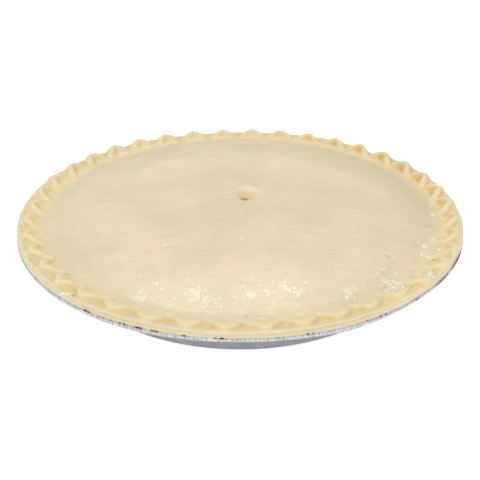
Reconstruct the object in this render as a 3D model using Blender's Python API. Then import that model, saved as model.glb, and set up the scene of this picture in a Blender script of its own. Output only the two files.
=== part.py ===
"""Covered lemon pie in its round foil tin.

Metres, +Z up. The origin is the centre of the tin's underside, and -Y is the front of the pie.
Two pieces: the pressed foil tin, and the pie that fills it. The pie is uncut, so its bottom
crust, filling, lid and crimped rim are one solid.

Angles run from the front (-Y) towards the right (+X), seen from above.
"""
import math

import bmesh
import bpy

MM = 0.001

# Foil tin: a flat base, a rounded corner, a sloping wall and a flat rim that ends in a rolled bead.
RIM_RADIUS = 124.0 * MM
RIM_HEIGHT = 27.5 * MM
BASE_RADIUS = 90.3 * MM
CORNER_RADIUS = 6.0 * MM
WALL_SLOPE = math.radians(55.0)
FOIL_THICKNESS = 0.5 * MM
BEAD_RADIUS = 1.05 * MM
BEAD_RISE = 0.2 * BEAD_RADIUS
BEAD_FIRST_ANGLE = math.radians(-140.0)
BEAD_LAST_ANGLE = math.radians(130.0)
BEAD_STEPS = 6
CORNER_STEPS = 3

# Pie: the gap keeps the pastry just clear of the foil. The crust's edge lies on the tin's rolled bead.
FOIL_GAP = 0.3 * MM
CRUST_RADIUS = 123.4 * MM
CRUST_UNDERSIDE = BEAD_RISE + FOIL_GAP
CRUST_EDGE_HEIGHT = 1.9 * MM

# Crimp: one zigzag ridge between an inner and an outer border, with a hollow in each bend.
CRIMP_COUNT = 40
FIRST_OUTER_TIP = math.radians(5.7)
CREST_INNER_RADIUS = 112.0 * MM
CREST_OUTER_RADIUS = 120.2 * MM
CREST_INNER_HEIGHT = 3.8 * MM
CREST_OUTER_HEIGHT = 5.3 * MM
RIDGE_HALF_WIDTH = 1.5 * MM
HOLLOW_HEIGHT = 1.6 * MM
INNER_BORDER_RADIUS = 109.8 * MM
INNER_BORDER_HEIGHT = 2.9 * MM
OUTER_BORDER_RADIUS = 122.3 * MM
OUTER_BORDER_HEIGHT = 2.5 * MM

# Lid: a broad dome that falls away more and more steeply, down to its foot beside the crimp.
LID_FOOT_RADIUS = 106.9 * MM
LID_FOOT_HEIGHT = 2.3 * MM
DOME_HEIGHT = 13.4 * MM
DOME_POWER = 4.6
DOME_RING_RADII = (103.5, 99.0, 93.0, 84.5, 72.0, 54.0, 30.0, 12.0)
EDGE_CENTRE_X = 0.3 * MM
CRIMP_CENTRE_X = 0.7 * MM
DOME_CENTRE_X = 3.4 * MM

# Vent: a small funnel pressed into the top of the lid.
VENT_LIP_RADIUS = 5.5 * MM
VENT_LIP_RISE = 0.4 * MM
VENT_THROAT_RADIUS = 1.8 * MM
VENT_THROAT_DEPTH = 1.8 * MM
VENT_FLOOR_RADIUS = 1.4 * MM
VENT_FLOOR_DEPTH = 5.5 * MM

# Facets round the pie: a fine count follows the crimp, and a coarse one does for the rest.
FINE_PER_CRIMP = 6
FINE_PER_COARSE = 3
FINE_COUNT = CRIMP_COUNT * FINE_PER_CRIMP
COARSE_COUNT = FINE_COUNT // FINE_PER_COARSE


def clear_scene():
    for old in list(bpy.data.objects):
        bpy.data.objects.remove(old, do_unlink=True)


def make_material(name, colour, roughness, metallic):
    material = bpy.data.materials.new(name)
    material.use_nodes = True
    shader = material.node_tree.nodes["Principled BSDF"]
    shader.inputs["Base Color"].default_value = (*colour, 1.0)
    shader.inputs["Roughness"].default_value = roughness
    shader.inputs["Metallic"].default_value = metallic
    return material


def add_object(name, bm, material):
    """Turns a closed bmesh into one smooth-shaded object whose faces point out."""
    bmesh.ops.recalc_face_normals(bm, faces=bm.faces)
    mesh = bpy.data.meshes.new(name)
    bm.to_mesh(mesh)
    bm.free()
    mesh.materials.append(material)
    mesh.shade_smooth()
    mesh.set_sharp_from_angle(angle=math.radians(35.0))
    piece = bpy.data.objects.new(name, mesh)
    bpy.context.collection.objects.link(piece)
    return piece


def add_ring(bm, count, radius_at, height_at, centre_x=0.0):
    """A ring of vertices whose radius and height may follow the angle."""
    ring = []
    for index in range(count):
        angle = FIRST_OUTER_TIP + math.tau * index / count
        radius = radius_at(angle)
        x = centre_x + radius * math.sin(angle)
        y = -radius * math.cos(angle)
        ring.append(bm.verts.new((x, y, height_at(angle))))
    return ring


def add_round_ring(bm, count, radius, height, centre_x=0.0):
    return add_ring(bm, count, lambda angle: radius, lambda angle: height, centre_x)


def join_equal_rings(bm, ring_a, ring_b):
    count = len(ring_a)
    for index in range(count):
        following = (index + 1) % count
        bm.faces.new((ring_a[index], ring_a[following], ring_b[following], ring_b[index]))


def join_fine_to_coarse(bm, fine, coarse):
    """Three fine edges meet each coarse edge: a triangle at each end and one pair between."""
    for index in range(len(coarse)):
        start = coarse[index]
        end = coarse[(index + 1) % len(coarse)]
        first = index * FINE_PER_COARSE
        bend = [fine[(first + step) % len(fine)] for step in range(FINE_PER_COARSE + 1)]
        bm.faces.new((start, bend[0], bend[1]))
        bm.faces.new((start, bend[1], bend[2]))
        bm.faces.new((start, bend[2], end))
        bm.faces.new((end, bend[2], bend[3]))


def close_ring(bm, ring, height, centre_x=0.0):
    """A fan from a ring to one vertex in its middle."""
    middle = bm.verts.new((centre_x, 0.0, height))
    for index in range(len(ring)):
        bm.faces.new((ring[index], ring[(index + 1) % len(ring)], middle))


def arc_points(centre, radius, first_angle, last_angle, steps):
    points = []
    for step in range(steps + 1):
        angle = first_angle + (last_angle - first_angle) * step / steps
        points.append((centre[0] + radius * math.cos(angle), centre[1] + radius * math.sin(angle)))
    return points


def wall_radius(height, inset):
    """Radius of the sloping wall at a height, on a line that lies inset inside the tin's outer face."""
    start_radius = BASE_RADIUS + (CORNER_RADIUS - inset) * math.sin(WALL_SLOPE)
    start_height = CORNER_RADIUS - (CORNER_RADIUS - inset) * math.cos(WALL_SLOPE)
    return start_radius + (height - start_height) / math.tan(WALL_SLOPE)


def bowl_profile(inset, top_height):
    """Radius and height along the bowl, from the flat base up to the rim, inset from its outer face."""
    corner = (BASE_RADIUS, CORNER_RADIUS)
    down = math.radians(-90.0)
    points = arc_points(corner, CORNER_RADIUS - inset, down, down + WALL_SLOPE, CORNER_STEPS)
    points.append((wall_radius(top_height, inset), top_height))
    return points


def bead_profile():
    """The rolled edge, from the underside of the rim round the outside to its top."""
    centre = (RIM_RADIUS - BEAD_RADIUS, RIM_HEIGHT + BEAD_RISE - BEAD_RADIUS)
    return arc_points(centre, BEAD_RADIUS, BEAD_FIRST_ANGLE, BEAD_LAST_ANGLE, BEAD_STEPS)


def build_foil_tin():
    rim_underside = RIM_HEIGHT - FOIL_THICKNESS
    flat_end = RIM_RADIUS - 2.0 * BEAD_RADIUS
    profile = bowl_profile(0.0, rim_underside)
    profile.append((flat_end, rim_underside))
    profile += bead_profile()
    profile.append((flat_end, RIM_HEIGHT))
    profile += reversed(bowl_profile(FOIL_THICKNESS, RIM_HEIGHT))

    bm = bmesh.new()
    rings = [add_round_ring(bm, COARSE_COUNT, radius, height) for radius, height in profile]
    for lower, upper in zip(rings, rings[1:]):
        join_equal_rings(bm, lower, upper)
    close_ring(bm, rings[0], 0.0)
    close_ring(bm, rings[-1], FOIL_THICKNESS)
    foil = make_material("foil", (0.62, 0.63, 0.65), 0.28, 1.0)
    return add_object("foil_tin", bm, foil)


def outer_share(angle):
    """Triangle wave of the zigzag: 1 at an outer tip, 0 at an inner tip."""
    phase = (angle - FIRST_OUTER_TIP) * CRIMP_COUNT / math.tau
    return abs(1.0 - 2.0 * (phase % 1.0))


def mix(inner, outer, share):
    return inner + (outer - inner) * share


def crest_radius(angle):
    return mix(CREST_INNER_RADIUS, CREST_OUTER_RADIUS, outer_share(angle))


def crest_height(angle):
    return RIM_HEIGHT + mix(CREST_INNER_HEIGHT, CREST_OUTER_HEIGHT, outer_share(angle))


def inner_foot_height(angle):
    """The ridge's inner foot lies low in the inner hollows and up on the border at the inner tips."""
    return RIM_HEIGHT + mix(INNER_BORDER_HEIGHT, HOLLOW_HEIGHT, outer_share(angle))


def outer_foot_height(angle):
    """The ridge's outer foot lies low in the outer hollows and up on the border at the outer tips."""
    return RIM_HEIGHT + mix(HOLLOW_HEIGHT, OUTER_BORDER_HEIGHT, outer_share(angle))


def add_crimp_rings(bm):
    """Rings from the crust's lower edge, over the crimp, to its inner border."""
    def level(height):
        return lambda angle: RIM_HEIGHT + height

    def circle(radius):
        return lambda angle: radius

    rows = (
        (circle(CRUST_RADIUS), level(CRUST_UNDERSIDE), EDGE_CENTRE_X),
        (circle(CRUST_RADIUS), level(CRUST_EDGE_HEIGHT), EDGE_CENTRE_X),
        (circle(OUTER_BORDER_RADIUS), level(OUTER_BORDER_HEIGHT), EDGE_CENTRE_X),
        (lambda angle: crest_radius(angle) + RIDGE_HALF_WIDTH, outer_foot_height, CRIMP_CENTRE_X),
        (crest_radius, crest_height, CRIMP_CENTRE_X),
        (lambda angle: crest_radius(angle) - RIDGE_HALF_WIDTH, inner_foot_height, CRIMP_CENTRE_X),
        (circle(INNER_BORDER_RADIUS), level(INNER_BORDER_HEIGHT), CRIMP_CENTRE_X),
    )
    rings = [add_ring(bm, FINE_COUNT, *row) for row in rows]
    for outer, inner in zip(rings, rings[1:]):
        join_equal_rings(bm, outer, inner)
    return rings


def dome_height(radius):
    fall = (radius / LID_FOOT_RADIUS) ** DOME_POWER
    return RIM_HEIGHT + mix(DOME_HEIGHT, LID_FOOT_HEIGHT, fall)


def lid_centre_x(radius):
    """The middle of the lid lies a little to the right of the crimp's middle."""
    return mix(DOME_CENTRE_X, CRIMP_CENTRE_X, radius / LID_FOOT_RADIUS)


def add_lid_rings(bm):
    """Rings from the lid's foot up over the dome and down into the vent."""
    top = dome_height(VENT_LIP_RADIUS)
    rows = [(LID_FOOT_RADIUS, RIM_HEIGHT + LID_FOOT_HEIGHT)]
    rows += [(radius * MM, dome_height(radius * MM)) for radius in DOME_RING_RADII]
    rows.append((VENT_LIP_RADIUS, top + VENT_LIP_RISE))
    rows.append((VENT_THROAT_RADIUS, top - VENT_THROAT_DEPTH))
    rows.append((VENT_FLOOR_RADIUS, top - VENT_FLOOR_DEPTH))
    rings = [
        add_round_ring(bm, COARSE_COUNT, radius, height, lid_centre_x(radius))
        for radius, height in rows
    ]
    for outer, inner in zip(rings, rings[1:]):
        join_equal_rings(bm, outer, inner)
    close_ring(bm, rings[-1], top - VENT_FLOOR_DEPTH, DOME_CENTRE_X)
    return rings


def add_underside_rings(bm):
    """Rings on the bottom crust, from the rim down the wall of the tin to the base."""
    inset = FOIL_THICKNESS + FOIL_GAP
    rows = reversed(bowl_profile(inset, RIM_HEIGHT + CRUST_UNDERSIDE))
    rings = [add_round_ring(bm, COARSE_COUNT, radius, height) for radius, height in rows]
    for upper, lower in zip(rings, rings[1:]):
        join_equal_rings(bm, upper, lower)
    close_ring(bm, rings[-1], inset)
    return rings


def build_lemon_pie():
    bm = bmesh.new()
    crimp = add_crimp_rings(bm)
    lid = add_lid_rings(bm)
    underside = add_underside_rings(bm)
    join_fine_to_coarse(bm, crimp[-1], lid[0])
    join_fine_to_coarse(bm, crimp[0], underside[0])
    pastry = make_material("pastry", (0.78, 0.68, 0.47), 0.55, 0.0)
    return add_object("lemon_pie", bm, pastry)


def main():
    clear_scene()
    build_foil_tin()
    build_lemon_pie()


main()
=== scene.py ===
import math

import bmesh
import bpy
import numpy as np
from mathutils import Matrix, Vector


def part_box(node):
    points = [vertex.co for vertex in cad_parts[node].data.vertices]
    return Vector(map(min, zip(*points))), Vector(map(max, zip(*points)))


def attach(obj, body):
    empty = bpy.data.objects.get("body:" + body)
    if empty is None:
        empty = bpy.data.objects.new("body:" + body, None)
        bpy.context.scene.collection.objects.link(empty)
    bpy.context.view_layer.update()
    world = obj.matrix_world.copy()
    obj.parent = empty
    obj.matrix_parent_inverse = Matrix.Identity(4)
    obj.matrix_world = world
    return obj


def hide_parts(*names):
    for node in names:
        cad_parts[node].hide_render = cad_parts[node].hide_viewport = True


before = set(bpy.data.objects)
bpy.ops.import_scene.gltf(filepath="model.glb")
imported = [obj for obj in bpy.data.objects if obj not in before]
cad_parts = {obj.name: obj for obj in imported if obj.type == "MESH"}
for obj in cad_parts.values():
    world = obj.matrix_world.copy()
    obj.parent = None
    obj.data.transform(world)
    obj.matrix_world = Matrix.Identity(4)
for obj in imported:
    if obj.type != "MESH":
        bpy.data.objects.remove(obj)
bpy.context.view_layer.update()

# Looks of the covered lemon pie in its foil tin: its crust, the foil, and the wet film, flour, flakes and
# dark specks that lie on them. Some of these looks and small pieces are painted light and shade, as said
# where each is made. Metres, +Z up, and -Y is the front of the pie. Angles run from the front (-Y) towards
# the right (+X), seen from above. Heights in the crust's functions are above the tin's rim. A pair of places
# says where a change starts and where it is complete.

MM = 0.001


def mm(*lengths):
    """Lengths in metres from millimetres."""
    return tuple(length * MM for length in lengths)


# Sizes from the frame, and the radius of the tin's rolled bead.
_, TIN_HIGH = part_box("foil_tin")
PIE_LOW, PIE_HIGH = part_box("lemon_pie")
BEAD_RADIUS = 1.05 * MM
BEAD_RISE = 0.2 * BEAD_RADIUS
RIM_RADIUS = TIN_HIGH.x
RIM_HEIGHT = TIN_HIGH.z - BEAD_RISE

# Tin: the line of its wall, between the flat base and the rim.
BASE_RADIUS = 90.3 * MM
CORNER_RADIUS = 6.0 * MM
WALL_SLOPE = math.radians(55.0)
FOIL_THICKNESS = 0.5 * MM
FOIL_GAP = 0.3 * MM
CRINKLE = 0.09 * MM
BEAD_TURNS = (math.radians(-140.0), math.radians(130.0))
BEAD_STEPS = 14
BEAD_CREASE_SIZE = 1.4 * MM
BEAD_DENT_SIZE = 5.0 * MM
RIM_RING_STEP = 6.0 * MM
TIN_POINTS = 360
# How far the rolled bead sags below its round shape: angle in degrees and millimetres.
BEAD_SAG = (
    (-95, 0.3), (-65, 0.7), (-30, 0.7), (-15, 0.3), (0, -0.1), (14, 0.2), (24, 1), (32, 0.3), (38, -0.3),
    (44, -0.9), (50, -1.2), (60, -0.6), (68, -0.6), (78, -1), (100, -0.4), (180, 0))
# Painted light on the foil: how much brighter its colour is made, and its rim less metallic, from 0 to 1:
# angle in degrees and value.
FOIL_SHINE = (
    (-80, 0), (-60, 0.3), (-40, 0.3), (-28, 0), (0, 0), (10, 0.15), (30, 0.35), (42, 1), (80, 1), (110, 0))
# How far below the rim the wall's look gives way to the rim's.
RIM_LOOK = mm(2.6, 1.4)

# Crust edge, which lies on the tin's rolled bead.
EDGE_CENTRE_X = 0.3 * MM
CRUST_RADIUS = 123.4 * MM
CRUST_UNDERSIDE = BEAD_RISE + FOIL_GAP
EDGE_DROP = 0.45 * MM
EDGE_HEIGHT = 1.1 * MM
EDGE_ROUND = 1.3 * MM
BORDER_START = 120.0 * MM
BORDER_RADIUS = 121.9 * MM
BORDER_HEIGHT = 2.7 * MM
BORDER_LIFT_SHARE = 0.6
FOLD_HEIGHT = 0.3 * MM
FOLD_HALF_WIDTH = 0.5 * MM
FOLD_INSET = 0.2 * MM
FACE_PLACES = mm(122.6, 123.1)
# Painted shade on the edge's upright face, how dark it is: angle in degrees and value.
FACE_LOOK = (
    (-100, 0.6), (-60, 0.6), (-45, 0.8), (-30, 1), (15, 1), (28, 0.8), (38, 0.2), (50, 0.2), (62, 0.5),
    (75, 0.5), (100, 0.5))
# How much paler the border is, and the painted highlight along its fold line at the front.
BORDER_PALE = (
    (-120, 0), (-80, 0.3), (-66, 0.5), (-50, 0.5), (-42, 0.25), (-28, 0.3), (-16, 0.4), (34, 0.4),
    (44, 0.2), (56, 0))
FOLD_PALE = 0.5

# Crimp: one zigzag ridge between the lid's shelf and the outer border, with a hollow in each bend.
CRIMP_CENTRE_X = 0.7 * MM
CRIMP_COUNT = 40
FIRST_OUTER_TIP = math.radians(5.7)
ZIGZAG_SHARPNESS = 0.84
TIP_BREADTH = 0.68
CREST_RADII = mm(112.4, 119.7)
CREST_HEIGHTS = mm(3.0, 5.3)
CREST_RISE = (0.1, 0.8)
CREST_WANDER = 0.3 * MM
CREST_UNEVENNESS = 0.2 * MM
FRONT_PRESS = 0.22
RIDGE_PLACES = mm(4.3, 0.6)
HOLLOW_HEIGHT = 1.7 * MM
FILLED_HEIGHT = 3.0 * MM
SWELL_PLACES = mm(2.4, 7.0)
SWELL_SHARE = 0.8
CREASE_RADII = mm(109.2, 111.4)
CREASE_HALF_WIDTH = 0.7 * MM
CREASE_BLEND = mm(-0.4, 1.4)
BAND_MARGIN = 3.0 * MM
INNER_SLOPE = 3.5 * MM
GOLD_NEAR = 1.0 * MM
GOLD_FULL = 2.6 * MM
GOLD_FAR = mm(5.6, 3.4)
GOLD_MARGIN = 2.5 * MM
GOLD_REST = 0.4
# At the back the inner tips are low and merge into the lid, by distance outside the crease and by share of
# the way to an outer tip.
BACK_TIP_DROP = 0.6 * MM
MERGED_REACH = mm(5.6, 3.2)
MERGED_SHARE = (0.65, 0.25)
# There the crimp's tone gives way to painted khaki and bluish-grey shade.
MERGED_CRIMP = 0.2
MERGED_OLIVE = 0.35
# Crimp look on the border and at the back, and strength of the browner spots, partly painted shade, at the
# front and at the back.
BORDER_CRIMP = 0.6
BACK_CRIMP = 0.6
SPOT_STRENGTHS = (0.4, 0.6)

# Changes round the rim: cosines of the angle, which are 1 at the front and -1 at the back.
PRESSED_COSINES = (0.3, 0.9)
GOLD_COSINES = (-0.4, -0.9)
MERGED_COSINES = (-0.70, -0.90)
COOL_COSINES = (0.1, -0.4)
FOLD_COSINES = (0.0, 0.6)
CRIMP_COSINES = (0.0, -0.5)
SPOT_COSINES = (0.2, -0.3)

# The crimp was pressed unevenly by hand. Each row is an angle in degrees and a value there. In degrees: how
# far the zigzag has drifted round, and how far its inner tips lean. In millimetres: how far the zigzag and
# the edge spread, and the border and the outer tips rise. Then how deep the inner hollows are, the crease's
# depth in millimetres, how golden the inner and the outer hollows are, a tone that is partly painted shade,
# how much painted khaki shade the outer hollows have, and how much browner the hollows are, partly painted
# shade.
CRIMP_DRIFT = (
    (-165, 1), (-150, 1.6), (-135, 1.5), (-110, 1.25), (-90, 0.7), (-72, 0.4), (-63, 0.2), (-45, -0.3),
    (-36, -0.6), (-20, 0), (-8, 0.2), (0, -0.1), (10, -0.7), (19, -1.1), (28, -1.8), (37, -2.2), (46, -1.3),
    (55, -0.4), (63, -1.1), (72, -1.9), (90, -1.6), (117, -2), (145, -1.6), (165, -0.9), (180, -0.2))
CRIMP_LEAN = ((-15, 0), (0, -1), (10, 0), (20, 0.5), (30, 0.9), (46, 1.2), (57, 0.6), (66, 0))
CREST_SHIFT = (
    (-126, 1), (-108, 0.6), (-90, 0), (-72, -0.5), (-54, -1.2), (-36, -1.4), (-18, -0.9), (0, -0.8),
    (10, -1.4), (20, -1.6), (30, -1.7), (38, -1.6), (47, -1.2), (56, 0.4), (81, 0.4), (99, 0), (150, 0.2),
    (-171, 0.4))
EDGE_SPREAD = (
    (-135, 0.1), (-110, 0.7), (-85, 0.8), (-65, 0.3), (-30, 0.2), (25, 0), (45, -0.6), (64, -0.7),
    (74, 0.1), (92, 0.5), (120, 0.2))
BORDER_LIFT = (
    (-165, 0.2), (-150, 0.7), (-130, 1), (-115, 1.5), (-90, 1.7), (-70, 0.7), (-50, 0), (60, 0), (85, 1),
    (100, 1.6), (112, 1.5), (128, 0.6), (136, -0.7), (145, 0.6), (153, 1), (165, 0.3), (180, 0.1))
TIP_LIFT = (
    (-175, 0.4), (-165, 0.7), (-156, 1.4), (-147, 1.5), (-128, 1.4), (-110, 1.5), (-95, 0.8), (-70, 0),
    (75, 0), (90, 0.5), (104, 1.2), (113, 1.6), (131, 1.7), (149, 1.5), (167, 1), (176, 0.5))
INNER_DEPTH = (
    (-64, -0.1), (-48, -0.2), (-38, 0), (0, 0), (40, 0.1), (58, 0.4), (80, 0.5), (110, 0.7), (150, 0.3),
    (-150, -0.05), (-110, 0.05), (-90, 0), (-70, 0))
CREASE_DEPTH = ((-60, 0.05), (-30, 0.22), (35, 0.22), (60, 0.1), (90, 0), (-90, 0))
INNER_GOLD = (
    (-165, 0.5), (-140, 0.6), (-110, 0.75), (-95, 0.8), (-70, 0.85), (-48, 0.9), (-38, 0), (45, 0),
    (65, 0.6), (95, 0.95), (150, 0.9), (165, 0.7))
OUTER_GOLD = (
    (-135, 0.1), (-110, 0.55), (-90, 0.7), (-60, 0.65), (-45, 0.85), (-14, 0.9), (-8, 0.72), (0, 0.85),
    (20, 0.9), (27, 0.7), (34, 0.85), (45, 0.85), (90, 0.7), (130, 0.1))
OUTER_OLIVE = (
    (-145, 0.6), (-120, 0.3), (-98, 0.1), (-60, 0.35), (0, 0.25), (28, 0.25), (40, 0.1), (80, 0),
    (105, 0.3), (145, 0.6))
BROWNING = (
    (-165, 0.05), (-98, 0), (-68, 0), (-60, 0.1), (-30, 0.2), (28, 0.2), (38, 0.05), (60, 0.15), (95, 0.25),
    (150, 0.25))
# Browner spots in the hollows, partly painted shade: angle in degrees, radius in millimetres and strength.
BROWN_SPOTS = (
    (-87, 114, 0.3), (-75.8, 114.2, 0.2), (-67.6, 113.7, 0.5), (-59, 112.5, 0.6), (-50.2, 112.2, 0.6),
    (-80.5, 119, 0.3), (-72.5, 119, 0.3), (-62.5, 118.5, 0.5), (-53, 117, 0.5), (-34.5, 115.6, 0.6),
    (-25.8, 116.2, 0.6), (-16.7, 116.4, 0.6), (-6, 118.7, 0.5), (-2.2, 120.4, 0.7), (0.5, 115.6, 0.5),
    (3.5, 119.9, 0.4), (9.6, 115, 0.5), (11.6, 117.4, 0.4), (18, 113.9, 0.5), (20.5, 118.8, 0.5),
    (28.9, 117.7, 0.6), (36.3, 113.9, 0.6), (37.4, 118.2, 0.4), (43.6, 115.4, 0.5), (46.3, 117.9, 0.6),
    (49.5, 112.2, 0.5), (55.3, 117.7, 0.5), (59, 112.5, 0.9), (64.9, 118.9, 0.7), (69.1, 111.7, 0.7),
    (76.8, 115.2, 0.6), (87.5, 115.4, 0.8), (94.6, 114.8, 0.8), (102.6, 115.2, 0.9), (111.5, 116, 1.2),
    (121, 116.2, 0.9), (129.8, 116.6, 0.9), (138.8, 116.6, 0.9), (147.4, 116.8, 0.6), (156.8, 117, 0.5),
    (167, 119.6, 0.4), (-102.6, 114.6, 0.2), (-91.8, 114.4, 0.6), (-43.6, 116, 0.6), (-41, 120.5, 0.7))
BROWN_SPOT_RADIUS = 1.7 * MM

# Lid: a broad dome that meets a narrow level shelf beside the crimp.
DOME_CENTRE_X = 3.4 * MM
DOME_HEIGHT = 13.4 * MM
DOME_POWER = 4.6
LID_FOOT_RADIUS = 106.9 * MM
SHELF_HEIGHT = 2.3 * MM
SHELF_BLEND = 0.9 * MM
ROLLING_FADE = 8.0 * MM
# Painted light and shade on the lid: a bluish-grey painted shade, tinted like a reflection, along its back
# edge, a painted highlight on its front shoulder, painted light to both sides of its back, painted khaki
# shade at its far back, and a warmer painted shade at its right-hand back.
COOL_PLACES = mm(99.0, 104.5)
COOL_END = 110.4 * MM
SHOULDER_PLACES = mm(66.0, 96.0)
BACK_PLACES = mm(5.0, 30.0)
BACK_FADE = mm(76.0, 60.0)
SIDE_PLACES = mm(8.0, 40.0)
FAR_PLACES = mm(48.0, 80.0)
WARM_PLACES = mm(62.0, 90.0)
WARM_DIRECTION = (0.8, 0.6)
WARM_UNCOOLED = 0.3
SHOULDER_PALE = 0.3
BACK_PALE = 0.25
FAR_OLIVE = 0.28
WARM_OLIVE = 0.45
WARM_CRIMP = 0.5
# The looks stored on the crust's mesh, as strengths from 0 to 1. The golden and browner tones are the
# hollows' colour, partly painted shade; the khaki, bluish-grey and face tones are painted shade; the paler
# tone is painted highlight and painted light, and on the border a paler colour.
LOOKS = ("gold_and_shade", "brown_and_shade", "crimp", "olive_shade", "cool_shade", "pale_and_highlight", "face")

# Vent: a funnel that slopes down from a raised back lip to a small deep hole at the front, with a nick beside
# it. An oval is x, y, half width and half length, and a reach of 1 is its outline.
VENT = mm(3.4, 0.4, 5.6, 8.4)
VENT_DEPTHS = mm(0.5, 1.4)
LIP_RISE = 0.8 * MM
LIP_REACH = 1.12
LIP_WIDTHS = (0.22, 0.6)
LIP_FRONT_SHARE = 0.25
FUNNEL_REACH = (1.0, 0.5)
FUNNEL_LOOK_REACH = (0.95, 0.5)
# A painted highlight on the crescent of the back lip.
CRESCENT_REACH = 0.95
CRESCENT_WIDTH = 0.3
CRESCENT_BACK = (0.6, 0.2)
CRESCENT_PALE = 0.5
# The funnel's golden tone, partly painted shade.
FUNNEL_GOLD = 0.55
HOLE = mm(2.6, -4.7, 2.3, 2.8)
HOLE_REACH = (1.0, 0.7)
HOLE_DEPTH = 6.0 * MM
# Painted shade in the hole and above it, with the hole's browner, khaki and face tones, all painted shade.
HOLE_SHADE = (*HOLE[:2], 1.3 * HOLE[2], 2.4 * HOLE[3])
HOLE_SHADE_REACH = (1.05, 0.85)
HOLE_SHADE_STRENGTH = 0.75
HOLE_BROWN = 0.6
HOLE_OLIVE = 0.8
HOLE_FACE = 0.9
NICK = mm(-6.7, -4.4, 2.0, 1.3)
NICK_SOFTNESS = 0.9
NICK_DEPTH = 0.8 * MM
NICK_FOLD = (NICK[0], NICK[1] + 2.0 * NICK[3], 1.4 * NICK[2], NICK[3])
NICK_FOLD_SOFTNESS = 0.8
NICK_FOLD_SHARE = 0.5

# Small marks on the lid: x, y, half width and half length in millimetres, how far they go down (or up), and
# how much browner they are, partly painted shade in the dents.
LID_MARKS = (
    (-7, 47, 15, 6, 0.22, 0), (-48, -34.5, 3, 1.6, 0.25, 0), (-10, -60.4, 1.2, 1, 0.3, 0.1),
    (74.9, -59.6, 1.4, 1, 0.7, 0.7), (78.9, -63.1, 1.3, 1, 0.4, 0.1), (70.9, -73.3, 0.9, 0.8, 0.4, 0.5),
    (3.2, -107.9, 0.7, 0.9, 0.4, 0.7), (86.5, -66.7, 1.2, 0.9, 0.5, 0.3), (85.7, -71.6, 1.6, 0.9, 0.5, 0.2),
    (-19.9, -63.8, 1, 0.9, 0.2, 0.1), (53.2, 23.9, 4.5, 5, -0.15, 0), (70.8, -82.1, 0.9, 0.8, 0.4, 0.6),
    (69, -84, 0.9, 0.8, 0.4, 0.5), (79.8, -84.9, 0.5, 1.8, 0.4, 0.5), (99, -56.2, 1.3, 0.8, 0.8, 1.1))

# Unevenness of the crust, as smooth random fields: seed, height and size of the lumps in millimetres.
UNEVENNESS = {
    "broad_rolling": (3, 0.32, 38.0), "rolling": (4, 0.10, 11.0), "streaks": (5, 0.03, 3.0),
    "crimp": (6, 0.10, 3.2), "fine_crimp": (7, 0.05, 1.5), "border": (8, 0.25, 4.0),
    "fold_line": (9, 0.7, 8.0), "face_line": (10, 0.25, 3.0)}
STREAK_SQUEEZE = 0.4

# Rings of the pie's mesh: radius of the outermost ring, how many points go round, and the spacing inwards.
POINTS_PER_CRIMP = 30
FINE_POINTS = POINTS_PER_CRIMP * CRIMP_COUNT
SEARCH_POINTS = 24
RING_STEPS = ((122.1, FINE_POINTS, 0.44), (107.6, FINE_POINTS // 2, 1.4), (50.0, FINE_POINTS // 4, 1.6),
              (17.0, FINE_POINTS // 4, 0.34))
INNERMOST_RADIUS = 0.6 * MM
EDGE_STEPS = 6
UNDER_RING_STEP = 2.0 * MM
UNDER_INSET = 1.5 * MM
FOOT_INSET = 0.1 * MM
# The rings are centred on the vent in the middle, and follow the edge's spread at the rim.
CENTRED_PLACES = mm(20.0, 60.0)
SPREAD_PLACES = (108.0 * MM, BORDER_RADIUS)

# Wet patches on the front of the lid: x, y, half width and half length, in millimetres.
WET_PATCHES = (
    (-47, -93.2, 4.6, 3.4), (-39.6, -94.6, 1.2, 1.2), (-32, -98, 2.8, 2.6), (-22, -96, 6, 5.2),
    (-14.5, -99.4, 5, 4.4), (4.8, -96.6, 4.8, 2.6), (12.2, -94.9, 2.6, 2.2), (20.4, -89.6, 3.4, 3.4),
    (26, -93.4, 3.6, 3.4), (32.4, -87.2, 1, 1), (38.3, -85.8, 1.2, 0.9), (52.8, -89.8, 2.8, 3.2),
    (15.8, -99, 1.6, 2.4))
FILM_ANGLES = (-34.0, 37.0)
FILM_RADII = mm(82.0, 109.0)
FILM_SPACING = 0.34 * MM
FILM_THICKNESS = 0.14 * MM
FILM_COVER = 0.6
PATCH_REACH = (1.8, 0.2)
# Gaps in the film: seed, size in millimetres and strength, and how much less of it there is everywhere.
# Its lumps: seed and size in millimetres.
FILM_GAPS = ((41, 2.2, 0.5), (42, 0.7, 0.9))
FILM_LOSS = 0.65
FILM_LUMPS = ((43, 0.9), (44, 1.8))
FILM_LUMP_HEIGHT = 0.07 * MM
FILM_LUMP_COVER = 0.3

# Small lumps, in shares of their size: unevenness, its cell, the step to the next lump's, and how far raised.
LUMP_UNEVENNESS = 0.35
LUMP_CELL = 0.9
LUMP_STEP = 5.3
LUMP_RAISE = 0.3

# Flour: x, y and spread in millimetres, and how many flecks. The groups at (53, -88.5), (-48.5, -92),
# (-20, -97.5) and (24, -91) lie on the wet patches, white flecks that are painted highlight among their
# glints.
FLOUR_PLACES = (
    (75, -81, 4.4, 75), (94.4, -50.9, 1.4, 10), (96.9, -42.4, 1.2, 10), (94.3, -73.4, 1.1, 9),
    (104.1, -24.5, 0.9, 6), (101.9, -33.1, 1.2, 7), (108, -3.8, 0.9, 6), (104.4, -44.8, 0.8, 5),
    (111.3, 10.5, 0.9, 5), (0, -53.7, 0.5, 3), (53, -88.5, 2.8, 14), (-48.5, -92, 2.2, 8),
    (-20, -97.5, 4, 10), (24, -91, 3, 6), (-84, -74, 1.4, 3), (-107, -28, 1.2, 3), (71, -70.5, 1.8, 5))
FLOUR_SEED = 51
FLECK_HALF_LENGTHS = (0.4, 1.8)
FLECK_HALF_HEIGHT = 0.16
FLECK_BROADENING = 0.12

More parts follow.
